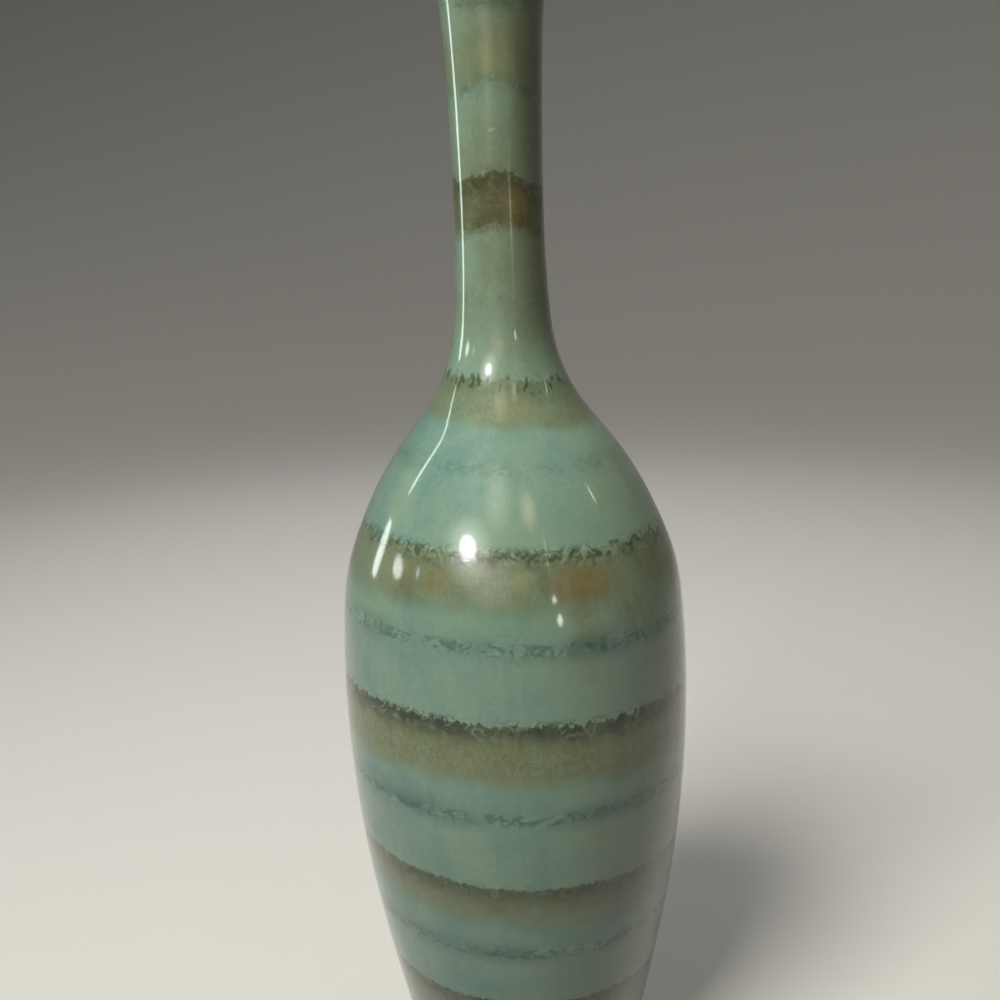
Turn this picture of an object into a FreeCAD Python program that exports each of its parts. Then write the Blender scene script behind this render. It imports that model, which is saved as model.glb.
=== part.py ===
import FreeCAD, Part
import math
import os

# A tall bottle vase of slip-cast stoneware, banded with reactive glaze outside and sealed
# with a thin liner glaze inside.
#
# Millimetres, +Z up. Z is the vase's axis and z = 0 is the surface that it stands on.
# The half section is drawn in the XZ plane and turned about the axis. One outline of
# tangent arcs gives the glazed outside. The clay under it, the hollow and the liner are the
# same arcs at a depth under that outline, so each wall keeps its thickness on the curves,
# the coats lie on the clay with no gap, and all of them follow when the outline changes.

# Rings that set the outline of the glazed outside. Heights are above the clay's foot.
vase_height = 608.0
foot_radius = 58.8
belly_radius = 89.2
belly_height = 218.4
waist_radius = 21.6
waist_height = 461.2
lip_radius = 31.0

# Rings between them, as shares of the way across and up from one ring to the next, and how
# steeply the outline leans there, as a share of the lean of a straight line between the two.
taper_end_shares = (0.467, 0.315, 1.0)
shoulder_shares = (0.138, 0.341, 1.44)
neck_root_shares = (0.662, 0.589, 3.18)
lip_shares = (1.0, 1.0, 2.8)

# Two arcs join each ring to the next. The upper arc's tangent is this share of the lower
# one's: taper to belly, to shoulder, to neck root, to waist, to lip.
reach_shares = (1.22, 0.496, 3.0, 0.93, 1.13)

# Thickness of each layer of the wall, from the outside in
glaze_thickness = 0.8
wall_thickness = 5.0
liner_thickness = 0.5

# Floor of the hollow, and the cove that joins it to the wall
floor_thickness = 7.0
cove_radius = 16.0

# Foot: a ground ring round a shallow recess, with the glaze stopping short of it
foot_ring_width = 13.0
foot_edge_radius = 1.5
recess_depth = 3.5
recess_side_run = 1.2
recess_edge_radius = 1.0
recess_corner_radius = 2.5
glaze_line_height = 5.0

# Felt pads stuck to the flat of the ground ring
pad_radius = 4.5
pad_thickness = 2.0
pad_count = 4

full_turn = 360.0
straight_enough = 1e-9

clay_depth = glaze_thickness
hollow_depth = clay_depth + wall_thickness
liner_depth = hollow_depth + liner_thickness
floor_height = recess_depth + floor_thickness


def at(radius, height):
    """A point or a direction of the half section: out from the axis, and up from the foot."""
    return FreeCAD.Vector(radius, 0, height)


def outwards(along):
    """Square to a direction that climbs along the outline, on its outer side."""
    return at(along.z, -along.x)


def ring_between(lower, upper, shares):
    """A ring part of the way from one to another, and the outline's direction there."""
    across_share, up_share, lean_share = shares
    span = upper - lower
    along = at(span.x / span.z * lean_share, 1).normalize()
    return lower + at(span.x * across_share, span.z * up_share), along


def arcs_joint(lower, upper, reach_share):
    """Where two arcs meet that touch each other and run on smoothly from both rings."""
    lower_point, lower_along = lower
    upper_point, upper_along = upper
    span = upper_point - lower_point
    bend = 2 * reach_share * (lower_along.dot(upper_along) - 1)
    run = 2 * (span.dot(lower_along) + reach_share * span.dot(upper_along))
    length_squared = span.dot(span)
    lower_reach = 2 * length_squared / (run + math.sqrt(run * run - 4 * bend * length_squared))
    upper_reach = lower_reach * reach_share
    lower_end = lower_point + lower_along * lower_reach
    upper_end = upper_point - upper_along * upper_reach
    across = upper_end - lower_end
    return lower_end + across * (lower_reach / (lower_reach + upper_reach)), across.normalize()


def make_outline():
    """The places where the outline's pieces meet, from foot to lip, each with its direction."""
    foot = at(foot_radius, 0)
    belly = at(belly_radius, belly_height)
    waist = at(waist_radius, waist_height)
    taper_end = ring_between(foot, belly, taper_end_shares)[0]
    taper_along = (taper_end - foot).normalize()
    lip_along = ring_between(waist, at(lip_radius, vase_height), lip_shares)[1]
    lip_rounding = liner_depth / 2
    lip_end = at(
        lip_radius - lip_rounding * (1 - lip_along.z),
        vase_height - lip_rounding * (1 + lip_along.x),
    )
    rings = (
        (taper_end, taper_along),
        (belly, at(0, 1)),
        ring_between(belly, waist, shoulder_shares),
        ring_between(belly, waist, neck_root_shares),
        (waist, at(0, 1)),
        (lip_end, lip_along),
    )
    places = [(foot, taper_along), rings[0]]
    for lower, upper, reach_share in zip(rings, rings[1:], reach_shares):
        places += [arcs_joint(lower, upper, reach_share), upper]
    return places


outline = make_outline()
foot_place, taper_place = outline[:2]
lip_place = outline[-1]


def under(place, depth):
    """The point at a depth under one place of the outline."""
    point, along = place
    return point - outwards(along) * depth


def taper_point(depth, height):
    """The point of the straight lower body at a depth under the outline and at a height."""
    start = under(foot_place, depth)
    along = foot_place[1]
    return start + along * ((height - start.z) / along.z)


def straight(start, end):
    return Part.LineSegment(start, end).toShape()


def rounding(start, crown, end):
    return Part.Arc(start, crown, end).toShape()


def arc_under(depth, lower, upper):
    """The piece of a wall line between two places, as deep under the outline all along."""
    start = under(lower, depth)
    end = under(upper, depth)
    lower_out = outwards(lower[1])
    upper_out = outwards(upper[1])
    turn = upper_out - lower_out
    if turn.Length < straight_enough:
        return straight(start, end)
    radius = (upper[0] - lower[0]).dot(turn) / turn.dot(turn)
    centre = lower[0] - lower_out * radius
    crown = centre + (lower_out + upper_out).normalize() * (radius - depth)
    return rounding(start, crown, end)


def wall_line(depth, start):
    """The edges of a wall line from a point on the straight lower body up to the lip."""
    curved = [arc_under(depth, lower, upper) for lower, upper in zip(outline[1:], outline[2:])]
    return [straight(start, under(taper_place, depth))] + curved


def lip_round(outer_depth, inner_depth):
    """The half round that carries a surface over the lip, from outside to inside."""
    outer = under(lip_place, outer_depth)
    inner = under(lip_place, inner_depth)
    crown = (outer + inner) / 2 + lip_place[1] * ((inner_depth - outer_depth) / 2)
    return rounding(outer, crown, inner)


def lip_joint():
    """The line across the liner's thickness where it meets the outer coat inside the lip."""
    return straight(under(lip_place, hollow_depth), under(lip_place, liner_depth))


def corner_round(before, corner, after, radius):
    """The rounding of a straight corner, as its start, its crown and its end."""
    to_before = (before - corner).normalize()
    to_after = (after - corner).normalize()
    half_angle = to_before.getAngle(to_after) / 2
    middle = (to_before + to_after).normalize()
    centre = corner + middle * (radius / math.sin(half_angle))
    reach = radius / math.tan(half_angle)
    return corner + to_before * reach, centre - middle * radius, corner + to_after * reach


def foot_edge():
    """The rounding where the clay's outside runs into the flat of the ground ring."""
    corner = taper_point(clay_depth, 0)
    return corner_round(at(0, 0), corner, under(taper_place, clay_depth), foot_edge_radius)


def recess_roundings():
    """The roundings at the recess's inner corner and at its mouth."""
    mouth = at(foot_radius - foot_ring_width, 0)
    corner = mouth + at(-recess_side_run, recess_depth)
    inner = corner_round(at(0, recess_depth), corner, mouth, recess_corner_radius)
    outer = corner_round(corner, mouth, foot_edge()[0], recess_edge_radius)
    return inner, outer


def cove(depth, radius, height):
    """The rounding between a level floor and the wall line at one depth."""
    corner = taper_point(depth, height)
    return corner_round(at(0, height), corner, under(taper_place, depth), radius)


def hollow_edges(depth, radius, height):
    """The hollow's outline at one depth, from its middle over floor and cove up to the lip."""
    start, crown, end = cove(depth, radius, height)
    return [straight(at(0, height), start), rounding(start, crown, end)] + wall_line(depth, end)


def turned(edges):
    """The solid that a closed half section makes when it is turned about the axis."""
    section = Part.Face(Part.Wire(Part.sortEdges(edges)[0]))
    return section.revolve(at(0, 0), at(0, 1), full_turn)


def make_stoneware_body():
    """The cast clay: one wall from the ground foot ring up over the lip and down to the floor."""
    inner, outer = recess_roundings()
    edge = foot_edge()
    glaze_line = taper_point(clay_depth, glaze_line_height)
    underside = [
        straight(at(0, recess_depth), inner[0]),
        rounding(*inner),
        straight(inner[-1], outer[0]),
        rounding(*outer),
        straight(outer[-1], edge[0]),
        rounding(*edge),
        straight(edge[-1], glaze_line),
    ]
    outside = wall_line(clay_depth, glaze_line) + [lip_round(clay_depth, hollow_depth)]
    hollow = hollow_edges(hollow_depth, cove_radius, floor_height)
    middle = straight(at(0, recess_depth), at(0, floor_height))
    return turned(underside + outside + hollow + [middle])


def make_outer_glaze():
    """The banded coat, from its rolled lower edge over the outside and the lip to the liner."""
    along = foot_place[1]
    glaze_line = taper_point(clay_depth, glaze_line_height)
    roll_centre = glaze_line + along * glaze_thickness
    full_coat = roll_centre + outwards(along) * glaze_thickness
    roll_crown = roll_centre + (outwards(along) - along).normalize() * glaze_thickness
    return turned(
        [rounding(glaze_line, roll_crown, full_coat)]
        + wall_line(0, full_coat)
        + [lip_round(0, liner_depth), lip_joint(), lip_round(clay_depth, hollow_depth)]
        + wall_line(clay_depth, glaze_line)
    )


def make_liner_glaze():
    """The coat that makes the hollow watertight: floor, cove and wall, up to the lip."""
    top_height = floor_height + liner_thickness
    return turned(
        hollow_edges(hollow_depth, cove_radius, floor_height)
        + hollow_edges(liner_depth, cove_radius - liner_thickness, top_height)
        + [straight(at(0, floor_height), at(0, top_height)), lip_joint()]
    )


def make_felt_pad(number):
    """One round pad in the middle of the ground ring's flat, its top against the clay."""
    reach = (recess_roundings()[1][-1].x + foot_edge()[0].x) / 2
    angle = math.radians(full_turn * (number + 1 / 2) / pad_count)
    centre = FreeCAD.Vector(reach * math.cos(angle), reach * math.sin(angle), -pad_thickness)
    return Part.makeCylinder(pad_radius, pad_thickness, centre)


def make_pieces():
    """Every piece by its name, raised so that the pads stand on z = 0."""
    pieces = {
        "stoneware_body": make_stoneware_body(),
        "outer_glaze": make_outer_glaze(),
        "liner_glaze": make_liner_glaze(),
    }
    for number in range(pad_count):
        pieces["felt_pad_%d" % (number + 1)] = make_felt_pad(number)
    for shape in pieces.values():
        shape.translate(at(0, pad_thickness))
    return pieces


os.makedirs("parts", exist_ok=True)
for name, shape in make_pieces().items():
    shape.exportStep("parts/" + name + ".step")
    print(name, "valid" if shape.isValid() else "not valid", "volume", round(shape.Volume))
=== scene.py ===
import math
from functools import partial

import bpy
from mathutils import Euler, Matrix, Vector


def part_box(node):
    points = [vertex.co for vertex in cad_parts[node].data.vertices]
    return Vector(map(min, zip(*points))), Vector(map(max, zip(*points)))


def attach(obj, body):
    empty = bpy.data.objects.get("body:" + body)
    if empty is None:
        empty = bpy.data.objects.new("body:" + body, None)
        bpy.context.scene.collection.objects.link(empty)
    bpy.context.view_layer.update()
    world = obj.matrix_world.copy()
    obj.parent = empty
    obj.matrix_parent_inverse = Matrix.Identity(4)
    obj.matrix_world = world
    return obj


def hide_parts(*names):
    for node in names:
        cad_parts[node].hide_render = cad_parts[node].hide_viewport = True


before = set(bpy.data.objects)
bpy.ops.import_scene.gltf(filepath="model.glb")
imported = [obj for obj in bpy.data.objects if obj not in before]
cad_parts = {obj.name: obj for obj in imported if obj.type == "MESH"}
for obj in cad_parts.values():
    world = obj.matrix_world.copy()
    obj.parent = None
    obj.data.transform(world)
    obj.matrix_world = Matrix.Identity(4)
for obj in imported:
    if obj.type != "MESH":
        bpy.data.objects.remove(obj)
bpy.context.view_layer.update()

# A tall bottle vase: slip-cast stoneware, banded reactive glaze outside, liner glaze inside, felt pads.
# Dictionaries give millimetres, as a potter measures. Meshes are in metres, on the frame's own axes.

scene = bpy.context.scene
mm = 0.001
nodeFamilies = ("ShaderNode", "GeometryNode", "FunctionNode", "")
nodeModes = ("operation", "interpolation_type", "data_type")
# the kinds that are used most
times, plus, timesPlus = "Math:MULTIPLY", "Math:ADD", "Math:MULTIPLY_ADD"
softStep, mix = "MapRange:SMOOTHSTEP", "Mix:RGBA"


def addNode(tree, kind, inputs=(), **settings):
    # kind is a node's type and, after a colon, its mode. An input is a socket to link or a plain value,
    # by name or in the order of the sockets in use. The first output in use comes back.
    kind, _, mode = kind.partition(":")
    family = next(family for family in nodeFamilies if hasattr(bpy.types, family + kind))
    node = tree.nodes.new(family + kind)
    if mode:
        settings[next(name for name in nodeModes if hasattr(node, name))] = mode
    for name, value in settings.items():
        setattr(node, name, value)
    if isinstance(inputs, dict):
        pairs = [(node.inputs[key], value) for key, value in inputs.items()]
    else:
        pairs = list(zip([socket for socket in node.inputs if socket.enabled], inputs))
    for socket, value in pairs:
        if isinstance(value, bpy.types.NodeSocket):
            tree.links.new(value, socket)
        else:
            socket.default_value = value
    return next((socket for socket in node.outputs if socket.enabled), node)


def linearColour(hexCode):
    # sRGB as written to the linear values that the shader wants
    channels = [int(hexCode[i:i + 2], 16) / 255 for i in (0, 2, 4)]
    return [c / 12.92 if c <= 0.04045 else ((c + 0.055) / 1.055) ** 2.4 for c in channels] + [1.0]


def fillRamp(ramp, stops):
    for index, (hexCode, place) in enumerate(stops):
        stop = ramp.elements[index] if index < 2 else ramp.elements.new(place)
        stop.position = place
        stop.color = linearColour(hexCode)


def newMaterial(name):
    # an empty material, and what adds a node to it
    material = bpy.data.materials.new(name)
    material.use_nodes = True
    material.node_tree.nodes.clear()
    return material, partial(addNode, material.node_tree)


# Camera and studio

cameraLens = {"distance": 600.0, "height": 482.0, "aside": -4.8, "lookDown": 15.0, "turn": -2.233,
              "focalPixels": 1223.0, "framePixels": 1000.0, "sensor": 36.0, "nearest": 10.0}


def makeCamera(c):
    data = bpy.data.cameras.new("camera")
    data.sensor_width = c["sensor"]
    data.lens = c["focalPixels"] / c["framePixels"] * c["sensor"]
    data.clip_start = c["nearest"] * mm
    camera = bpy.data.objects.new("camera", data)
    scene.collection.objects.link(camera)
    aim = Euler((math.radians(90 - c["lookDown"]), 0, 0)).to_matrix()
    turn = Matrix.Rotation(math.radians(c["turn"]), 3, "Z")
    place = Matrix.Translation(Vector((c["aside"], -c["distance"], c["height"])) * mm)
    camera.matrix_world = place @ (aim @ turn).to_4x4()
    scene.camera = camera


studio = {
    "skylight": 0.12,
    "paper": "CDCAC3", "paperBounce": "66635F", "pulpScale": 60.0, "pulpMottle": 1.02,
    "floorRadius": 1500.0, "coveRadius": 1500.0, "wallHeight": 2600.0,
    "turnSteps": 96, "coveSteps": 24, "floorSteps": 4,
    "aim": (0, 0, 310),
    # broad soft lamps, which the glaze doesn't mirror: place, watts, tint
    "softSide": 900, "softSpread": 120,
    "softLamps": {
        "softOverhead": ((-840, -1035, 2000), 27.0, "FFFFFA"),
        "warmFill": ((1300, -1100, 800), 0.25, "FFE6C4"),
        "backFill": ((-250, 1500, 1400), 5.0, "F4F8FF"),
        "sideFill": ((1300, 800, 1300), 2.0, "FFF8F0"),
    },
    # small lamps that only make the highlights: place, width and height, radiance at the middle, tint,
    # how far the bright core reaches, how bright the glow round it is, and how much the fading follows
    # the width and the height
    "brightLamps": {
        "mainLamp": ((-765, -1120, 1060), (1200, 800), 22.0, "FFFFFF", 0.25, 0.25, (1, 1.25)),
        "highPatch": ((-230, -1010, 1420), (700, 900), 3.4, "FFF4DC", 0.1, 0.9, (1, 1)),
        "neckGlow": ((337, -1122, 1357), (400, 480), 5.0, "FFE9CC", 0.1, 0.7, (1, 0.9)),
        "frontGlow": ((-290, -1030, 700), (900, 640), 2.2, "FFF0E2", 0.1, 0.9, (1, 1)),
        "leftSlitLow": ((-1400, 480, 500), (320, 320), 9.0, "EEFFF8", 0.5, 0.2, (1, 0.5)),
        "leftSlitHigh": ((-1270, 315, 1150), (100, 520), 10.0, "EEFFF0", 0.5, 0.3, (1, 0.5)),
        "leftBroad": ((-2400, -75, 800), (1000, 480), 10.0, "F4FFFF", 0.36, 0.06, (1, 0.9)),
        "leftSmall": ((-1415, -521, 730), (120, 170), 7.0, "F4FFFF", 0.4, 0.2, (1, 1)),
        "rightSlit": ((600, -1250, 1050), (46, 400), 4.0, "FFF0D2", 0.3, 0.4, (1, 0.7)),
        "smallRight": ((752, -1391, 330), (220, 360), 12.0, "FFFFF0", 0.36, 0.15, (1, 0.9)),
        "smallRightHigh": ((690, -1382, 640), (170, 240), 12.0, "FFFFF0", 0.36, 0.15, (1, 0.9)),
        "farRight": ((1310, -190, 1120), (95, 340), 8.0, "E9FFF6", 0.36, 0.2, (1, 0.9)),
    },
    # where the core and the glow fade, as shares of the core's reach, and where the lamp's rim is
    "coreFade": (0.75, 0.4), "glowFull": 0.3, "rim": 0.5,
}


def placeLamp(name, place, size, watts, tint):
    data = bpy.data.lights.new(name, "AREA")
    data.shape = "RECTANGLE"
    data.size, data.size_y = (side * mm for side in size)
    data.energy = watts
    data.color = linearColour(tint)[:3]
    lamp = bpy.data.objects.new(name, data)
    scene.collection.objects.link(lamp)
    towards = (Vector(studio["aim"]) - Vector(place)).to_track_quat("-Z", "Y")
    lamp.matrix_world = Matrix.Translation(Vector(place) * mm) @ towards.to_matrix().to_4x4()
    lamp.visible_camera = False
    return lamp


def makeSoftLamp(name, place, watts, tint):
    lamp = placeLamp(name, place, (studio["softSide"], studio["softSide"]), watts, tint)
    lamp.data.spread = math.radians(studio["softSpread"])
    lamp.visible_glossy = False


def makeBrightLamp(name, place, size, radiance, tint, core, glow, fade):
    width, height = (side * mm for side in size)
    lamp = placeLamp(name, place, size, radiance * math.pi * width * height, tint)
    lamp.visible_diffuse = False
    lamp.data.use_nodes = True
    tree = lamp.data.node_tree
    tree.nodes.clear()
    add = partial(addNode, tree)
    # bright in the middle and fading to its rim, as a shaded lamp does
    across = add("NewGeometry").node.outputs["Parametric"]
    middle = add("VectorMath:SUBTRACT", (across, (0.5, 0.5, 0)))
    far = add("VectorMath:LENGTH", (add("VectorMath:MULTIPLY", (middle, (*fade, 0))),))
    coreEnd, coreStart = (core * share for share in studio["coreFade"])
    peak = add(softStep, (far, coreEnd, coreStart))
    halo = add(softStep, (far, studio["rim"], core * studio["glowFull"], 0.0, glow))
    strength = add("Math:MAXIMUM", (peak, halo))
    light = add("Emission", {"Color": (1, 1, 1, 1), "Strength": strength})
    add("OutputLight", {"Surface": light})


def makePaper(s):
    # Seamless backdrop paper, matte: a pale field with the faintest pulp mottle, 17 mm across
    material, add = newMaterial("mattBackdropPaper")
    point = add("TexCoord").node.outputs["Object"]
    pulp = add("TexNoise", {"Vector": point, "Scale": s["pulpScale"], "Detail": 4.0})
    mottled = add("ValToRGB", (pulp,))
    stops = mottled.node.color_ramp.elements
    stops[0].color = linearColour(s["paper"])
    stops[1].color = [min(1, c * s["pulpMottle"]) for c in linearColour(s["paper"])]
    # it looks pale, but throws less of its light back up at the glaze
    path = add("LightPath").node.outputs
    seen = add("Math:MAXIMUM", (path["Is Camera Ray"], path["Is Glossy Ray"]))
    seen = add("Math:MAXIMUM", (seen, path["Is Transmission Ray"]))
    shown = add(mix, (seen, linearColour(s["paperBounce"]), mottled))
    surface = add("BsdfPrincipled", {"Base Color": shown, "Roughness": 0.95, "Specular IOR Level": 0.1})
    add("OutputMaterial", {"Surface": surface})
    return material


def makeBackdrop(s):
    # floor, cove and wall in one sweep all round, so that every side of the vase has a pale ground
    floor, cove, turns = s["floorRadius"], s["coveRadius"], s["turnSteps"]
    line = [(floor * i / s["floorSteps"], 0) for i in range(1, s["floorSteps"])]
    for step in range(s["coveSteps"] + 1):
        angle = math.pi / 2 * step / s["coveSteps"]
        line.append((floor + cove * math.sin(angle), cove * (1 - math.cos(angle))))
    line.append((floor + cove, s["wallHeight"]))
    points, faces, rows = [Vector((0, 0, 0))], [], len(line)
    for turn in range(turns):
        angle = 2 * math.pi * turn / turns
        points += [Vector((r * math.cos(angle), r * math.sin(angle), z)) * mm for r, z in line]
        here, there = 1 + turn * rows, 1 + (turn + 1) % turns * rows
        faces.append((0, here, there))
        faces += [(here + i, here + i + 1, there + i + 1, there + i) for i in range(rows - 1)]
    mesh = bpy.data.meshes.new("backdrop")
    mesh.from_pydata(points, [], faces)
    mesh.shade_smooth()
    mesh.materials.append(makePaper(s))
    backdrop = bpy.data.objects.new("backdrop", mesh)
    scene.collection.objects.link(backdrop)


def makeWorld(s):
    # light that falls in over the backdrop's rim
    world = bpy.data.worlds.new("skylight")
    world.use_nodes = True
    world.node_tree.nodes.clear()
    add = partial(addNode, world.node_tree)
    sky = add("Background", {"Color": linearColour("FFFFFF"), "Strength": s["skylight"]})
    add("OutputWorld", {"Surface": sky})
    scene.world = world


scene.view_settings.view_transform = "Standard"
makeCamera(cameraLens)
makeWorld(studio)
makeBackdrop(studio)
for lampName, lampFacts in studio["softLamps"].items():
    makeSoftLamp(lampName, *lampFacts)
for lampName, lampFacts in studio["brightLamps"].items():
    makeBrightLamp(lampName, *lampFacts)
print("camera and studio ready")


# Half section of the vase. Points are (radius, height above the clay's foot) in millimetres.

vase = {
    "height": 608.0, "footRadius": 58.8, "bellyRadius": 89.2, "bellyHeight": 218.4,
    "waistRadius": 21.6, "waistHeight": 461.2, "lipRadius": 31.0,
    # rings between those, as shares of the way across and up, and of the straight line's lean
    "taperEndShares": (0.467, 0.315, 1.0), "shoulderShares": (0.138, 0.341, 1.44),
    "neckRootShares": (0.662, 0.589, 3.18), "lipShares": (1.0, 1.0, 2.8),
    "reachShares": (1.22, 0.496, 3.0, 0.93, 1.13),
    "glaze": 0.8, "wall": 5.0, "liner": 0.5, "floor": 7.0, "cove": 16.0,
    "footRing": 13.0, "footEdge": 1.5, "recess": 3.5, "recessRun": 1.2, "recessEdge": 1.0,
    "recessCorner": 2.5, "glazeLine": 5.0, "padThickness": 2.0,
    "spongeReach": 14.0,  # how far the potter's sponge evens out the meeting of two curves
    # how finely the section and its turn are cut up, and a row of points on the straight taper
    "lineStep": 0.5, "rowSpacing": 3.4, "rowClearance": 0.5, "clayRows": 2, "hiddenRows": 4,
    "lipSteps": 16, "coveSteps": 10, "roundSteps": 8, "ringSteps": 6, "floorSteps": 5,
    "segments": 360, "hiddenSegments": 240, "taperRow": 9,
    # the coat sinks by up to this, in hills of this spread, and its lower edge waves within this height
    "unevenness": 0.22, "hillSpread": 38.0, "hillFade": 15.0, "lineWave": 1.6, "lineReach": 12.0, "seed": 3.0,
}
clayDepth = vase["glaze"]
hollowDepth = clayDepth + vase["wall"]
linerDepth = hollowDepth + vase["liner"]
floorHeight = vase["recess"] + vase["floor"]


def outwards(along):
    return Vector((along.y, -along.x))


def ringBetween(lower, upper, shares):
    across, up, lean = shares
    span = upper - lower
    along = Vector((span.x / span.y * lean, 1)).normalized()
    return lower + Vector((span.x * across, span.y * up)), along


def arcJoint(lower, upper, reach):
    # where two arcs meet that touch each other and both rings' directions
    span = upper[0] - lower[0]
    bend = 2 * reach * (lower[1].dot(upper[1]) - 1)
    run = 2 * (span.dot(lower[1]) + reach * span.dot(upper[1]))
    square = span.dot(span)
    lowerReach = 2 * square / (run + math.sqrt(run * run - 4 * bend * square))
    lowerEnd = lower[0] + lower[1] * lowerReach
    across = upper[0] - upper[1] * lowerReach * reach - lowerEnd
    return lowerEnd + across / (1 + reach), across.normalized()


def outlinePlaces(v):
    foot = Vector((v["footRadius"], 0))
    belly = Vector((v["bellyRadius"], v["bellyHeight"]))
    waist = Vector((v["waistRadius"], v["waistHeight"]))
    lip = Vector((v["lipRadius"], v["height"]))
    taperEnd = ringBetween(foot, belly, v["taperEndShares"])[0]
    taperAlong = (taperEnd - foot).normalized()
    lipAlong = ringBetween(waist, lip, v["lipShares"])[1]
    rounding = linerDepth / 2
    lipEnd = Vector((v["lipRadius"] - rounding * (1 - lipAlong.y), v["height"] - rounding * (1 + lipAlong.x)))
    rings = [(taperEnd, taperAlong), (belly, Vector((0, 1))), ringBetween(belly, waist, v["shoulderShares"]),
             ringBetween(belly, waist, v["neckRootShares"]), (waist, Vector((0, 1))), (lipEnd, lipAlong)]
    places = [(foot, taperAlong), rings[0]]
    for lower, upper, reach in zip(rings, rings[1:], v["reachShares"]):
        places += [arcJoint(lower, upper, reach), upper]
    return places


def turnedBy(direction, angle):
    return Vector((direction.x * math.cos(angle) - direction.y * math.sin(angle),
                   direction.x * math.sin(angle) + direction.y * math.cos(angle)))


def arcPoints(lower, upper, spacing):
    # evenly spaced points from one place to just before the next
    lowerOut, upperOut = outwards(lower[1]), outwards(upper[1])
    span, turn = upper[0] - lower[0], upperOut - lowerOut
    count = max(2, round(span.length / spacing))
    if turn.length < 1e-6:
        return [lower[0] + span * i / count for i in range(count)]
    radius = span.dot(turn) / turn.dot(turn)
    centre = lower[0] - lowerOut * radius
    angle = math.atan2(lowerOut.x * upperOut.y - lowerOut.y * upperOut.x, lowerOut.dot(upperOut))
    return [centre + turnedBy(lowerOut, angle * i / count) * radius for i in range(count)]


def spongedOutline(v):
    # the arcs with their meetings evened out, as rows of (point, direction) from foot to lip
    places, step = outlinePlaces(v), v["lineStep"]
    half = round(v["spongeReach"] / step / 2)
    line = [p for lower, upper in zip(places, places[1:]) for p in arcPoints(lower, upper, step)]
    below = [places[0][0] - places[0][1] * step * i for i in range(2 * half, 0, -1)]
    above = [places[-1][0] + places[-1][1] * step * i for i in range(1, 2 * half + 1)]
    line = below + line + [places[-1][0]] + above
    for sponging in range(2):
        total = sum(line[:2 * half + 1], Vector((0, 0)))
        evened = [total / (2 * half + 1)]
        for i in range(half + 1, len(line) - half):
            total = total + line[i + half] - line[i - half - 1]
            evened.append(total / (2 * half + 1))
        line = evened
    rows = round((len(line) - 1) * step / v["rowSpacing"])
    outline = []
    for row in range(rows + 1):
        i = round(row * (len(line) - 1) / rows)
        before, after = line[max(0, i - 1)], line[min(len(line) - 1, i + 1)]
        outline.append((line[i], (after - before).normalized()))
    return outline


outline = spongedOutline(vase)
footPlace, lipPlace, taperPlace = outline[0], outline[-1], outline[vase["taperRow"]]


def under(place, depth):
    return place[0] - outwards(place[1]) * depth


def taperPoint(depth, height):
    start, along = under(footPlace, depth), footPlace[1]
    return start + along * ((height - start.y) / along.y)


def wallRows(depth, lowest, every=1):
    # the wall line at one depth, from a height on the taper up to the lip
    rows = [under(place, depth) for place in outline[:-1:every]]
    return [p for p in rows if p.y > lowest + vase["rowClearance"]] + [under(lipPlace, depth)]


def roundPoints(start, crown, end, count):
    # points on the arc through three points, both ends left out
    chord = end - start
    middle = (start + end) / 2
    rise = crown - middle
    radius = (chord.length ** 2 / 4 + rise.length ** 2) / (2 * rise.length)
    centre = crown - rise.normalized() * radius
    first, last = start - centre, end - centre
    angle = math.atan2(first.x * last.y - first.y * last.x, first.dot(last))
    if first.cross(rise) * angle < 0:
        angle -= math.copysign(2 * math.pi, angle)
    return [centre + turnedBy(first, angle * i / count) for i in range(1, count)]


def lipRound(outerDepth, innerDepth, count):
    outer, inner = under(lipPlace, outerDepth), under(lipPlace, innerDepth)
    crown = (outer + inner) / 2 + lipPlace[1] * ((innerDepth - outerDepth) / 2)
    return roundPoints(outer, crown, inner, count)


def cornerRound(before, corner, after, radius):
    toBefore, toAfter = (before - corner).normalized(), (after - corner).normalized()
    half = toBefore.angle(toAfter) / 2
    middle = (toBefore + toAfter).normalized()
    reach = radius / math.tan(half)
    centre = corner + middle * (radius / math.sin(half))
    return corner + toBefore * reach, centre - middle * radius, corner + toAfter * reach


def rounded(corner, count):
    return [corner[0]] + roundPoints(*corner, count) + [corner[2]]


def hollowLine(v, depth, coveRadius, height):
    middle = Vector((0, height))
    corner = cornerRound(middle, taperPoint(depth, height), under(taperPlace, depth), coveRadius)
    floor = [Vector((corner[0].x * i / v["floorSteps"], height)) for i in range(v["floorSteps"])]
    return floor + rounded(corner, v["coveSteps"]) + wallRows(depth, corner[2].y, v["hiddenRows"])


def glazeSection(v):
    # up the outside from a rolled edge, over the lip, and back down along the clay
    along, coat, steps = footPlace[1], v["glaze"], v["roundSteps"]
    line = taperPoint(clayDepth, v["glazeLine"])
    rollCentre = line + along * coat
    full = rollCentre + outwards(along) * coat
    crown = rollCentre + (outwards(along) - along).normalized() * coat
    outside = rounded((line, crown, full), steps) + wallRows(0, full.y)
    lip = lipRound(0, linerDepth, v["lipSteps"]) + [under(lipPlace, linerDepth), under(lipPlace, hollowDepth)]
    againstClay = wallRows(clayDepth, line.y, v["hiddenRows"]) + lipRound(clayDepth, hollowDepth, steps)
    return outside + lip + list(reversed(againstClay)) + [line]


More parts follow.
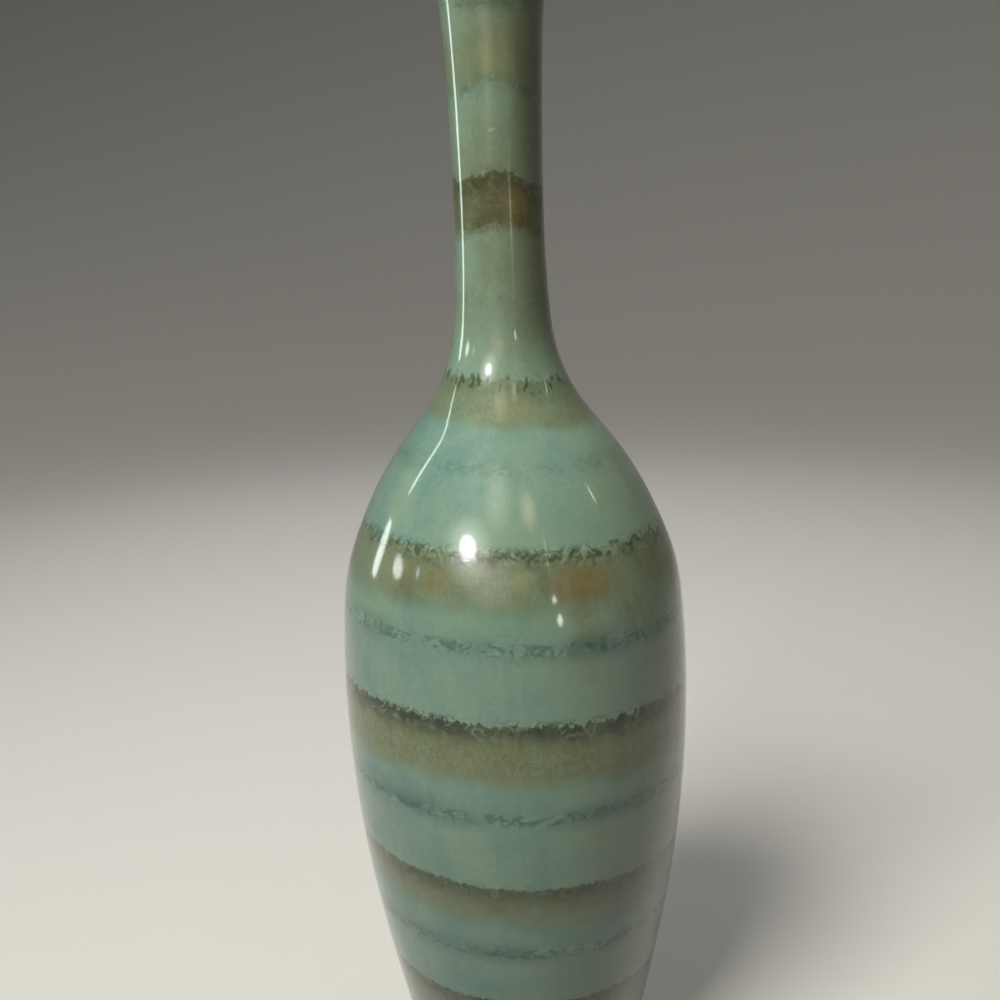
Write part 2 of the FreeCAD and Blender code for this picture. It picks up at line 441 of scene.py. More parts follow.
def claySection(v):
    middle, steps, ringSteps = Vector((0, v["recess"])), v["roundSteps"], v["ringSteps"]
    mouth = Vector((v["footRadius"] - v["footRing"], 0))
    corner = mouth + Vector((-v["recessRun"], v["recess"]))
    taper = under(taperPlace, clayDepth)
    inner = cornerRound(middle, corner, mouth, v["recessCorner"])
    edge = cornerRound(Vector((0, 0)), taperPoint(clayDepth, 0), taper, v["footEdge"])
    outer = cornerRound(corner, mouth, edge[0], v["recessEdge"])
    recess = [Vector((inner[0].x * i / steps, v["recess"])) for i in range(steps)] + rounded(inner, steps)
    flat = [outer[2].lerp(edge[0], i / ringSteps) for i in range(1, ringSteps)]
    foot = recess + rounded(outer, ringSteps) + flat + rounded(edge, steps)
    outside = wallRows(clayDepth, edge[2].y, v["clayRows"]) + lipRound(clayDepth, hollowDepth, steps)
    return foot + outside + list(reversed(hollowLine(v, hollowDepth, v["cove"], floorHeight)))


def linerSection(v):
    against = hollowLine(v, hollowDepth, v["cove"], floorHeight)
    inside = hollowLine(v, linerDepth, v["cove"] - v["liner"], floorHeight + v["liner"])
    return against + list(reversed(inside))


# Geometry Nodes: what every tree starts and ends with

def newTree(name, inputs):
    # the tree, what adds a node to it, its inputs' identifiers and its inputs' sockets
    tree = bpy.data.node_groups.new(name, "GeometryNodeTree")
    for direction in ("INPUT", "OUTPUT"):
        tree.interface.new_socket("Geometry", in_out=direction, socket_type="NodeSocketGeometry")
    identifiers = {}
    for inputName, kind, value in inputs:
        socket = tree.interface.new_socket(inputName, in_out="INPUT", socket_type="NodeSocket" + kind)
        if value is not None:
            socket.default_value = value
        identifiers[inputName] = socket.identifier
    return tree, partial(addNode, tree), identifiers, tree.nodes.new("NodeGroupInput").outputs


def endTree(add, given, shape):
    shape = add("RealizeInstances", (shape,))
    shape = add("SetMaterial", {"Geometry": shape, "Material": given["Material"]})
    add("NodeGroupOutput", (shape,))


def bakeShape(made, tree, identifiers, values):
    # runs the tree once and keeps its result as a plain mesh
    modifier = made.modifiers.new(tree.name, "NODES")
    modifier.node_group = tree
    for name, value in values.items():
        modifier[identifiers[name]] = value
    evaluated = made.evaluated_get(bpy.context.evaluated_depsgraph_get())
    mesh = bpy.data.meshes.new_from_object(evaluated)
    made.modifiers.clear()
    made.data = mesh
    mesh.name = made.name


def makeTurnedWall():
    # a half section in a mesh of single points, carried round the axis
    tree, add, identifiers, given = newTree("turnedWall", [
        ("Segments", "Int", 360), ("Unevenness", "Float", 0.0001), ("Unevenness Spread", "Float", 0.03),
        ("Glaze Line Wave", "Float", 0.0005), ("Seed", "Float", 1.0), ("Material", "Material", None)])
    profile = given["Geometry"]
    rows = add("AttributeDomainSize", (profile,), component="MESH")
    columns = add(plus, (given["Segments"], 1.0))
    grid = add("MeshGrid", {"Vertices X": columns, "Vertices Y": rows})
    # the grid counts up its rows first, so the place in the section is what is left of the count
    index = add("InputIndex")
    column = add("Math:FLOOR", (add("Math:DIVIDE", (index, rows)),))
    row = add("Math:MODULO", (index, rows))
    turn = add("Math:DIVIDE", (column, given["Segments"]))
    angle = add(times, (turn, 2 * math.pi))
    cosine = add("Math:COSINE", (angle,))
    sine = add("Math:SINE", (angle,))
    # the glaze's lower edge runs a little high and low around the foot
    around = add("CombineXYZ", (cosine, sine, given["Seed"]))
    wave = add("TexNoise", {"Vector": around, "Scale": 4.0, "Detail": 2.0})
    lift = add(times, (add("Math:SUBTRACT", (wave, 0.5)), given["Glaze Line Wave"]))
    place = add("SampleIndex:FLOAT_VECTOR", (profile, add("InputPosition"), row))
    glide = add("InputNamedAttribute:FLOAT_VECTOR", {"Name": "glide"})
    glide = add("SampleIndex:FLOAT_VECTOR", (profile, glide, row))
    relief = add("InputNamedAttribute:FLOAT", {"Name": "relief"})
    relief = add("SampleIndex:FLOAT", (profile, relief, row))
    place = add("VectorMath:ADD", (place, add("VectorMath:SCALE", (glide, lift))))
    parts = add("SeparateXYZ", (place,)).node.outputs
    across = add(times, (parts["X"], cosine))
    deep = add(times, (parts["X"], sine))
    turned = add("CombineXYZ", (across, deep, parts["Z"]))
    wall = add("SetPosition", {"Geometry": grid, "Position": turned})
    # the relief's weight is kept before the seam is merged, because the points are counted anew there
    wall = add("StoreNamedAttribute:FLOAT", {"Geometry": wall, "Name": "relief", "Value": relief})
    wall = add("MergeByDistance", {"Geometry": wall, "Distance": 1e-6})
    weight = add("InputNamedAttribute:FLOAT", {"Name": "relief"})
    near = add("Math:DIVIDE", (1.0, given["Unevenness Spread"]))
    hills = add("TexNoise", {"Vector": add("InputPosition"), "W": given["Seed"], "Scale": near,
                             "Detail": 1.5}, noise_dimensions="4D")
    depth = add(times, (add("Math:SUBTRACT", (hills, 1.0)), given["Unevenness"]))
    share = add(times, (depth, weight))
    offset = add("VectorMath:SCALE", (add("InputNormal"), share))
    wall = add("SetPosition", {"Geometry": wall, "Offset": offset})
    wall = add("RemoveAttribute", {"Geometry": wall, "Name": "relief"})
    endTree(add, given, add("SetShadeSmooth", (wall,)))
    return tree, identifiers


# Materials of the vase

glazeLook = {
    # celadon from where it is thick and blue to where it is thin and warm
    "celadon": (("5E8279", 0.18), ("74907F", 0.40), ("829A82", 0.60), ("727C60", 0.82)),
    "olive": "616A45", "brown": "524A2C", "paleOlive": "8F8F62", "ochre": "7E6A38", "rust": "785A2E",
    # the pink here is no colour of the glaze: it paints a reflection of warm light at the neck root
    "dark": "1A2A18", "teal": "2F5650", "blueHaze": "748D90", "paintedPinkReflection": "9A8262", "paleCrawlAndGlint": "A3B49B",
    "lean": 0.04,  # the whole banding rises to the left by this share of the width
    # cloudy patterns: width, height, detail, seed, roughness
    "swaying": (70.0, 70.0, 1.0), "torn": (2.4, 2.4, 3.0, 1.0, 0.6), "drips": (2.6, 16.0, 1.0, 2.0),
    "grain": (0.9, 0.9, 2.0, 3.0, 0.7), "narrow": (5.0, 90.0, 2.0, 4.0), "wide": (17.0, 180.0, 2.0, 5.0),
    "cloud": (34.0, 34.0, 3.0, 6.0), "patchy": (11.0, 15.0, 3.0, 7.0), "dashes": (2.4, 22.0, 1.0, 9.0),
    "peel": (7.0, 7.0, 1.0, 11.0), "sand": (2.4, 3.12, 3.0, 13.0, 0.65),
    # how far they shift the bands' edges, and how far grit frays the lower edge and the dark one
    "swayBy": 2.4, "tornBy": 1.6, "dripsBy": 1.8, "hangingBy": 3.5, "fray": 1.9, "rimGrit": 10.0,
    "rimAbove": 3.5,
    # strips along a band's top and under it: where each fades out and is full, above and then below
    "topStrip": (4.0, 0.5, -9.0, -2.0), "underStrip": (3.0, -3.0, -26.0, -8.0),
    # crawl marks: size and seed of the two dark kinds and of the pale one, which is partly paler glaze and
    # partly painted glints off the crawls' relief
    "crawlSize": 13.0, "crawlStroke": 0.085, "fineCrawl": 0.5, "paleMarkSize": 0.8,
    "crawlSeeds": (8.0, 12.0, 16.0),
    # between which values a pattern goes from none to full
    "crawlBreak": (0.42, 0.56), "blotches": (0.7, 1.3), "thickness": (0.6, 1.3), "hazeClouds": (0.36, 0.62),
    "palePatches": (0.8, 1.2), "rustPatches": (0.54, 0.68), "dashWidth": (0.54, 0.64),
    "patchFade": (1.15, 0.25), "patchFray": 0.7, "fleckChance": (0.86, 0.92), "fleckRim": (0.2, 0.1),
    # the celadon's tone: where it starts, and what shifts it by how much
    "tone": 0.67, "wideTone": 0.18, "narrowTone": 0.09, "cloudTone": 0.32, "sandTone": 0.34,
    # the side tint is painted light: the celadon turns cooler to the left and warmer to the right, as cool
    # light from the left shows it
    "paintedSideTint": 0.15, "neckWarmth": 0.3, "neckRise": (372.0, 430.0), "coolUnderBands": -0.06,
    "lowCool": -0.09, "lowFall": (170.0, 80.0),
    # how strongly each layer of colour covers what lies under it. A pair is what the layer's pattern adds,
    # and what is there without it.
    "brownCover": (0.8, 0.2), "oxideCover": (0.28, 0.78), "patchCover": (0.6, 0.5), "edgeCover": (0.4, 0.5),
    "hazeCover": 0.6, "paleCover": 0.28, "speckleCrawl": 0.7, "faintCrawl": 0.22, "darkCover": 0.8,
    "tealCover": 0.68, "fleckCover": 0.25, "fleckSpacing": 2.6,
    # relief under the coat and of the coat itself
    "peelHeight": 0.25, "markHeight": 0.25, "coatMarkHeight": 0.1, "sandHeight": 0.12,
    "bumpStrength": 0.35, "coatBumpStrength": 0.2, "bumpDepth": 0.4,
    "roughness": 0.34, "coatRoughness": 0.06,
}

# What a band does unless it says otherwise, and each band from foot to lip: its top and bottom edge, the
# softness of both, how ragged the top is, its own lean and lobes, and how much oxide, dark edge, crawl
# marks, drip dashes, rust, brown and yellow it carries. Deep is how far down the dark edge reaches, and
# cool is how much bluer the celadon under the band is.
plainBand = {"lean": 0, "lobe": 0, "edge": 0, "deep": 6.0, "crawl": 0, "dash": 0, "rust": 0, "yellow": 0,
             "cool": 1.0}
glazeBands = [
    {"top": 15, "bottom": -30, "soft": (1.5, 4), "ragged": 1.5, "oxide": 0.85, "edge": 0.5,
     "crawl": 0.2, "rust": 0.2, "yellow": 0.1, "brown": 0.7},
    {"top": 80, "bottom": 60, "soft": (0.8, 7), "ragged": 1.2, "lean": 0.01, "oxide": 0.84, "edge": 1.0,
     "deep": 9.0, "crawl": 0.2, "yellow": 0.35, "brown": 0.7},
    {"top": 151, "bottom": 131, "soft": (0.9, 9), "ragged": 1.2, "lean": 0.03, "oxide": 0.86, "edge": 0.8,
     "deep": 9.0, "crawl": 0.3, "yellow": 0.4, "brown": 0.5},
    {"top": 237, "bottom": 207.5, "soft": (0.6, 6), "ragged": 1.9, "lean": 0.005, "oxide": 0.9,
     "edge": 1.05, "deep": 10.0, "crawl": 0.9, "rust": 0.05, "yellow": 0.5, "brown": 0.12},
    {"top": 315.5, "bottom": 290.5, "soft": (1.0, 6), "ragged": 2.2, "lean": -0.012, "oxide": 0.69,
     "edge": 0.2, "crawl": 0.8, "cool": -1.5, "rust": 0.45, "yellow": 0.4, "brown": 0.3},
    {"top": 386.5, "bottom": 366.0, "soft": (0.9, 2.5), "ragged": 1.4, "lean": 0.04, "oxide": 0.68,
     "edge": 0.2, "dash": 0.8, "rust": 0.1, "yellow": 0.4, "brown": 0.2},
    {"top": 480.0, "bottom": 455.5, "soft": (0.9, 4), "ragged": 1.5, "lean": 0.03, "lobe": 2.9,
     "oxide": 0.9, "edge": 0.35, "crawl": 0.35, "rust": 0.1, "brown": 1.0},
    {"top": 541, "bottom": 518, "soft": (9, 2), "ragged": 2.0, "lobe": 3.4, "oxide": 0.4, "yellow": 0.2,
     "brown": 0.2},
    {"top": 640, "bottom": 600, "soft": (2, 5), "ragged": 1.5, "oxide": 0.8, "rust": 0.3, "brown": 0.9},
]
# Speckled lines: height, half width, strength, lobe
speckleLines = [
    (42, 4.5, 0.9, 0), (112, 4.5, 0.95, 0), (189, 4.5, 1.0, 0), (274, 4.5, 0.9, 0),
    (349.5, 4.0, 0.4, 0), (424, 4.5, 0.25, 0), (518, 3.5, 0.6, 3.4), (554, 2.5, 0.6, 0),
]
# Patches that the kiln left, and one painted reflection: angle to the right of the front, height, half its
# width, half its height, colour, strength
kilnPatchesAndPaintedReflection = [
    (-38, 300, 9, 12, "brown", 0.35), (10, 303, 5, 10, "brown", 0.35),
    (-7, 500.5, 1.1, 0.9, "paleCrawlAndGlint", 0.7), (-3, 500.9, 0.8, 0.8, "paleCrawlAndGlint", 0.6),
    (23, 301.0, 19, 12, "rust", 0.65), (-27, 304, 10, 9, "rust", 0.45),
    (54, 306, 18, 13, "brown", 0.45), (-3, 470, 5, 14, "brown", 0.6),
    (22, 468, 8, 13, "ochre", 0.5), (-45, 306.0, 22, 10, "ochre", 0.35),
    # the pink patch at the neck root is a painted reflection of warm light, not a mark of the kiln
    (4, 374, 11, 9, "paintedPinkReflection", 0.35), (3, 305, 6, 11, "paleOlive", 0.6),
    (35, 270, 18, 14, "blueHaze", 0.3), (-2, 532, 10, 12, "paleOlive", 0.5),
    (-45, 198, 40, 9, "teal", 0.3), (-150, 300, 26, 12, "rust", 0.6),
    (120, 224, 28, 11, "rust", 0.35), (170, 470, 14, 11, "rust", 0.3),
]


def patchCentre(turnBy, height):
    # a place on the glazed outside, at a height above the surface that the vase stands on
    nearest = min(outline, key=lambda row: abs(row[0].y + vase["padThickness"] - height))
    radius, angle = nearest[0].x, math.radians(turnBy)
    return radius * math.sin(angle), -radius * math.cos(angle), height


def makeBandedGlaze(look):
    # Reactive stoneware glaze, sprayed in bands on the wheel and fired glossy: colours bleed into each
    # other, run down in soft streaks, and break to dark ragged edges under a smooth glassy coat
    material, add = newMaterial("glossyReactiveGlaze")
    point = add("VectorMath:SCALE", (add("TexCoord").node.outputs["Object"], 1 / mm))
    x, y, z = add("SeparateXYZ", (point,)).node.outputs

    def cloudy(width, tall, detail=2.0, seed=0.0, roughness=0.5, distortion=0.0):
        # values from 0 to 1 in clouds of that size in millimetres, longer along the height where it ran
        sized = add("VectorMath:MULTIPLY", (point, (1 / width, 1 / width, 1 / tall)))
        return add("TexNoise", {"Vector": sized, "W": seed, "Scale": 1.0, "Detail": detail,
                                "Roughness": roughness, "Distortion": distortion}, noise_dimensions="4D")

    def crawled(size, seed):
        # worm-like crawl marks are the contour lines of a small noise, broken off here and there
        marked = cloudy(size, size * 0.8, 1.5, seed, distortion=0.9)
        contour = add("Math:ABSOLUTE", (add(timesPlus, (marked, 1.0, -0.5)),))
        broken = add(softStep, (cloudy(size, size * 0.7, 1.0, seed + 1), *look["crawlBreak"]))
        stroke = add(softStep, (contour, look["crawlStroke"], 0.0))
        return add(times, (stroke, broken))

    totals = {}

    def gather(name, value, weight):
        # adds up what all bands and lines carry of one thing
        if weight and name in totals:
            totals[name] = add(timesPlus, (value, weight, totals[name]))
        elif weight:
            totals[name] = add(times, (value, weight))

    grain, narrow, wide, cloud, patchy, sand = (
        cloudy(*look[name]) for name in ("grain", "narrow", "wide", "cloud", "patchy", "sand"))
    grit = add(plus, (grain, sand))
    # the same patterns about zero, by how far each one shifts an edge or a tone
    swayed, torn, drips = (
        add(timesPlus, (cloudy(*look[name]), 2 * look[by], -look[by]))
        for name, by in (("swaying", "swayBy"), ("torn", "tornBy"), ("drips", "dripsBy")))
    hanging, wideTone, narrowTone, cloudTone, sandTone = (
        add(timesPlus, (value, 2 * look[by], -look[by]))
        for value, by in ((patchy, "hangingBy"), (wide, "wideTone"), (narrow, "narrowTone"),
                          (cloud, "cloudTone"), (add(times, (sand, grain)), "sandTone")))
    level = add(plus, (add(timesPlus, (x, look["lean"], z)), swayed))
    ragged = add(plus, (torn, drips))
    coarseSeed, fineSeed, paleSeed = look["crawlSeeds"]
    worms = add("Math:MAXIMUM", (crawled(look["crawlSize"], coarseSeed),
                                 crawled(look["crawlSize"] * look["fineCrawl"], fineSeed)))
    paleWormsAndGlints = crawled(look["crawlSize"] * look["paleMarkSize"], paleSeed)
    # three lobes round the neck, where the bands hang lower
    angle = add("Math:ARCTAN2", (x, add(times, (y, -1.0))))
    lobes = add("Math:COSINE", (add(times, (angle, 3.0)),))

    for facts in glazeBands:
        band = {**plainBand, **facts}
        top, bottom, (softTop, softBottom) = band["top"], band["bottom"], band["soft"]
        height = add(timesPlus, (x, band["lean"], level)) if band["lean"] else level
        if band["lobe"]:
            height = add(timesPlus, (lobes, -band["lobe"], height))
        upper = add(timesPlus, (ragged, band["ragged"], height))
        above = add(softStep, (upper, top + softTop, top - softTop))
        # grit frays the lower edge, and the line is moved by what it adds there
        fray = softBottom * look["fray"]
        lower = add(timesPlus, (grit, fray, add(plus, (height, hanging))))
        inside = add(softStep, (lower, bottom + fray - softBottom, bottom + fray + softBottom))
        cover = add(times, (above, inside))
        for name in ("oxide", "rust", "yellow", "brown"):
            gather(name, cover, band[name])
        sanded = add(timesPlus, (sand, look["rimGrit"], upper))
        rim = add(softStep, (sanded, top - band["deep"], top + look["rimAbove"]))
        gather("edge", add(times, (above, rim)), band["edge"])
        # crawl marks and dashes sit in a strip at the top edge, and cooler celadon in one under the band
        strips = []
        for line, reaches in ((top, look["topStrip"]), (bottom, look["underStrip"])):
            outer, inner, far, near = (line + reach for reach in reaches)
            fall = add(softStep, (height, outer, inner))
            rise = add(softStep, (height, far, near))
            strips.append(add(times, (fall, rise)))
        for name, strip in (("crawl", 0), ("dash", 0), ("cool", 1)):
            gather(name, strips[strip], band[name])

    for height, half, strength, lobe in speckleLines:
        at = add(timesPlus, (lobes, -lobe, level)) if lobe else level
        off = add("Math:ABSOLUTE", (add("Math:SUBTRACT", (at, height)),))
        gather("speckle", add(softStep, (off, half, half * 0.35)), strength)
        gather("haze", add(softStep, (off, half * 2.2, 0.0)), strength)

    # celadon: thick turquoise to thin warm green, in runs and clouds, warmer up the neck, and cooler to the
    # left and warmer to the right as painted light from a cool lamp on the left
    tone = add(plus, (add(plus, (wideTone, narrowTone)), cloudTone))
    reach = add("VectorMath:LENGTH", (add("CombineXYZ", {"X": x, "Y": y}),))
    for value, by in ((add("Math:DIVIDE", (x, reach)), "paintedSideTint"),
                      (add(softStep, (z, *look["neckRise"])), "neckWarmth"),
                      (totals["cool"], "coolUnderBands"),
                      (add(softStep, (z, *look["lowFall"])), "lowCool")):
        tone = add(timesPlus, (value, look[by], tone))
    tone = add(plus, (add(plus, (tone, sandTone)), look["tone"]))
    colour = add("ValToRGB", (tone,))
    colour.node.color_ramp.interpolation = "B_SPLINE"
    fillRamp(colour.node.color_ramp, look["celadon"])

    # how much of each layer lies where: oxide broken up by streaks, blotches and grain
    blotch = add(softStep, (add(plus, (patchy, grain)), *look["blotches"]))
    thick = add(softStep, (add(plus, (narrow, patchy)), *look["thickness"]))
    clouded = add(softStep, (cloud, *look["hazeClouds"]))
    haze = add(times, (add(times, (totals["haze"], look["hazeCover"])), clouded))
    colour = add(mix, (haze, colour, linearColour(look["teal"])))
    inBand, sandyGrain = linearColour(look["olive"]), add(plus, (sand, grain))
    for total, name, value in (
            ("brown", "brown", add(timesPlus, (blotch, *look["brownCover"]))),
            ("yellow", "paleOlive", add(softStep, (sandyGrain, *look["palePatches"]))),
            ("rust", "rust", add(softStep, (patchy, *look["rustPatches"])))):
        share = add(times, (totals[total], value))
        inBand = add(mix, (share, inBand, linearColour(look[name])))
    covering = add(timesPlus, (thick, *look["oxideCover"]))
    colour = add(mix, (add(times, (totals["oxide"], covering)), colour, inBand))
    # kiln patches, and the painted reflection among them, fade outwards, with a frayed rim that follows the
    # clouds and the runs
    frayBy = look["patchFray"]
    byClouds, byRuns = (add(timesPlus, (value, 2 * frayBy, -frayBy)) for value in (patchy, narrow))
    mottled = add(timesPlus, (blotch, *look["patchCover"]))
    for turnBy, height, width, tall, name, strength in kilnPatchesAndPaintedReflection:
        offset = add("VectorMath:SUBTRACT", (point, patchCentre(turnBy, height)))
        sized = add("VectorMath:MULTIPLY", (offset, (1 / width, 1 / width, 1 / tall)))
        far = add(plus, (add("VectorMath:LENGTH", (sized,)), byClouds))
        far = add(plus, (far, byRuns))
        patch = add(softStep, (far, *look["patchFade"], 0.0, strength))
        share = add(times, (patch, mottled))
        colour = add(mix, (share, colour, linearColour(look[name])))
    # where the dark crawls apart, paler glaze shows between, and the same pale marks are partly painted
    # glints off the crawls' relief
    faint = add(plus, (totals["crawl"], look["faintCrawl"]))
    faint = add(timesPlus, (totals["speckle"], look["speckleCrawl"], faint))
    paleMarks = add(times, (faint, paleWormsAndGlints))
    dripping = add(softStep, (cloudy(*look["dashes"]), *look["dashWidth"]))
    dashes = add(times, (totals["dash"], dripping))
    marks = add(plus, (add(times, (totals["crawl"], worms)), dashes))
    marks = add("Math:MINIMUM", (marks, 1.0))
    tealMarks = add(times, (totals["speckle"], worms))
    # iron flecks in some cells of a net
    net = add("VectorMath:SCALE", (point, 1 / look["fleckSpacing"]))
    cells = add("TexVoronoi", {"Vector": net, "Scale": 1.0})
    chosen = add("SeparateColor", (cells.node.outputs["Color"],))
    chosen = add(softStep, (chosen, *look["fleckChance"]))
    flecks = add(times, (add(softStep, (cells, *look["fleckRim"])), chosen))
    darkened = add(timesPlus, (blotch, *look["edgeCover"]))
    for name, value, cover in (
            ("dark", totals["edge"], darkened), ("paleCrawlAndGlint", paleMarks, look["paleCover"]),
            ("dark", marks, look["darkCover"]), ("teal", tealMarks, look["tealCover"]),
            ("dark", flecks, look["fleckCover"])):
        share = add(times, (value, cover))
        colour = add(mix, (share, colour, linearColour(look[name])))

    # glassy surface: a little orange peel, marks just proud of it, and a sandy feel over the oxide
    peel = add(times, (cloudy(*look["peel"]), look["peelHeight"]))
    raised = add(timesPlus, (marks, look["markHeight"], peel))
    sandy = add(times, (grain, totals["oxide"]))
    sandy = add(timesPlus, (sandy, look["sandHeight"], peel))
    sandy = add(timesPlus, (marks, look["coatMarkHeight"], sandy))
    bump, coatBump = (
        add("Bump", {"Height": height, "Strength": look[by], "Distance": look["bumpDepth"] * mm})
        for height, by in ((raised, "bumpStrength"), (sandy, "coatBumpStrength")))
    surface = add("BsdfPrincipled", {
        "Base Color": colour, "Roughness": look["roughness"], "IOR": 1.5, "Specular IOR Level": 0.12,
        "Normal": bump, "Coat Weight": 1.0, "Coat Roughness": look["coatRoughness"], "Coat IOR": 1.5,
        "Coat Normal": coatBump})
    add("OutputMaterial", {"Surface": surface})
    return material


def makeBareClay():
    # Fired stoneware left bare: warm buff body with iron specks, ground on the foot, matte and gritty
    material, add = newMaterial("bareStoneware")
    place = add("TexCoord").node.outputs["Object"]
    # clouds 22 mm across, grit of 0.55 mm, and a speck of iron in some cells 2.4 mm apart
    cloud = add("TexNoise", {"Vector": place, "Scale": 45.0, "Detail": 4.0})
    grit = add("TexNoise", {"Vector": place, "Scale": 1800.0, "Detail": 2.0, "Roughness": 0.7})
    body = add("ValToRGB", (cloud,))
    fillRamp(body.node.color_ramp, (("A58664", 0.3), ("BFA27C", 0.7)))
    cells = add("TexVoronoi", {"Vector": place, "Scale": 420.0})
    specks = add("MapRange", (cells, 0.22, 0.12))
    colour = add(mix, (specks, body, linearColour("5B4232")))
    bump = add("Bump", {"Height": grit, "Strength": 0.5, "Distance": 0.15 * mm})
    surface = add("BsdfPrincipled", {"Base Color": colour, "Roughness": 0.86, "Specular IOR Level": 0.3,
                                     "Normal": bump})
    add("OutputMaterial", {"Surface": surface})
    return material


def makeLinerGlaze():
    # Thin liner glaze poured in and out: glossy deep green, darker where it pooled and ran
    material, add = newMaterial("pouredLinerGlaze")
    place = add("TexCoord").node.outputs["Object"]
    # runs 8 mm wide and 110 mm long, and an orange peel of 6 mm
    runs = add("VectorMath:MULTIPLY", (place, (120.0, 120.0, 9.0)))
    runs = add("TexNoise", {"Vector": runs, "Scale": 1.0, "Detail": 3.0})
    colour = add("ValToRGB", (runs,))
    fillRamp(colour.node.color_ramp, (("4C5F50", 0.3), ("76866C", 0.72)))
    peel = add("TexNoise", {"Vector": place, "Scale": 160.0, "Detail": 1.0})
    bump = add("Bump", {"Height": peel, "Strength": 0.2, "Distance": 0.3 * mm})
    surface = add("BsdfPrincipled", {"Base Color": colour, "Roughness": 0.16, "IOR": 1.5, "Normal": bump,
                                     "Coat Weight": 0.6, "Coat Roughness": 0.06})
    add("OutputMaterial", {"Surface": surface})
    return material


def makeFelt():
    # Needled wool felt, die cut: dark, soft, light caught on loose fibres
    material, add = newMaterial("pressedFelt")
    place = add("TexCoord").node.outputs["Object"]
    # tufts 0.4 mm apart, far coarser than single wool fibres, so that they show
    fibres = add("TexNoise", {"Vector": place, "Scale": 2600.0, "Detail": 3.0, "Distortion": 1.5})
    colour = add("ValToRGB", (fibres,))
    fillRamp(colour.node.color_ramp, (("2B211B", 0.35), ("4A3B31", 0.7)))
    bump = add("Bump", {"Height": fibres, "Strength": 0.8, "Distance": 0.2 * mm})
    surface = add("BsdfPrincipled", {"Base Color": colour, "Roughness": 0.95, "Specular IOR Level": 0.2,
                                     "Normal": bump, "Sheen Weight": 0.4, "Sheen Roughness": 0.5})
    add("OutputMaterial", {"Surface": surface})
    return material


def nearLine(point):
    # how much a point follows the wavy glaze line: all at the line, none a short way above it
    return max(0.0, 1 - abs(point.y - vase["glazeLine"]) / vase["lineReach"]) ** 2


def onOutside(point):
    # relief fades in above the glaze line and out at the lip
    fromLine = (point.y - vase["glazeLine"]) / vase["hillFade"]
    fromLip = (vase["height"] - point.y) / vase["hillFade"]
    return max(0.0, min(1.0, fromLine, fromLip))


def makeWall(name, node, section, material, segments, reliefs, glides):
    # the half section as loose points, with how much each one may move
    mesh = bpy.data.meshes.new(name)
    points = [Vector((p.x, 0, p.y + vase["padThickness"])) * mm for p in section]
    mesh.from_pydata(points, [], [])
    mesh.attributes.new("relief", "FLOAT", "POINT").data.foreach_set("value", reliefs)
    moves = [value for glide in glides for value in (glide.x, 0.0, glide.y)]
    mesh.attributes.new("glide", "FLOAT_VECTOR", "POINT").data.foreach_set("vector", moves)
    made = bpy.data.objects.new(name, mesh)
    scene.collection.objects.link(made)
    bakeShape(made, turnedWall, wallInputs, {
        "Segments": segments, "Unevenness": vase["unevenness"] * mm,
        "Unevenness Spread": vase["hillSpread"] * mm, "Glaze Line Wave": vase["lineWave"] * mm,
        "Seed": vase["seed"], "Material": material})
    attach(made, "root")
    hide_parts(node)
    print(name, len(made.data.vertices), "vertices")


turnedWall, wallInputs = makeTurnedWall()
section = glazeSection(vase)
outsideRows = vase["roundSteps"] + 1 + len(wallRows(0, vase["glazeLine"]))
reliefs = [onOutside(p) if i < outsideRows else 0.0 for i, p in enumerate(section)]
makeWall("bandedGlazeCoat", "outer_glaze", section, makeBandedGlaze(glazeLook),
         vase["segments"], reliefs, [footPlace[1] * nearLine(p) for p in section])
for name, node, slot, section, material in (
        ("castClayBody", "stoneware_body", "stoneware", claySection(vase), makeBareClay()),
        ("linerGlazeCoat", "liner_glaze", "liner_glaze", linerSection(vase), makeLinerGlaze())):
    still, unmoved = [0.0] * len(section), [Vector((0, 0))] * len(section)
    makeWall(name, node, section, material, vase["hiddenSegments"], still, unmoved)


# Felt pads: die-cut discs with fibres standing off the cut edge

feltPads = {
    "edgeRound": 0.35, "sides": 48, "fibres": 420, "fibreLength": 0.7, "fibreRadius": 0.03, "seed": 5,
    "curl": 70.0, "steepest": 0.3,  # a fibre's bend in degrees, and how far up a face may look to carry any
    "sizes": (0.35, 1.0), "twist": (0.9, 0.9, 3.1), "standOff": 1.3, "shortest": 0.15,
}


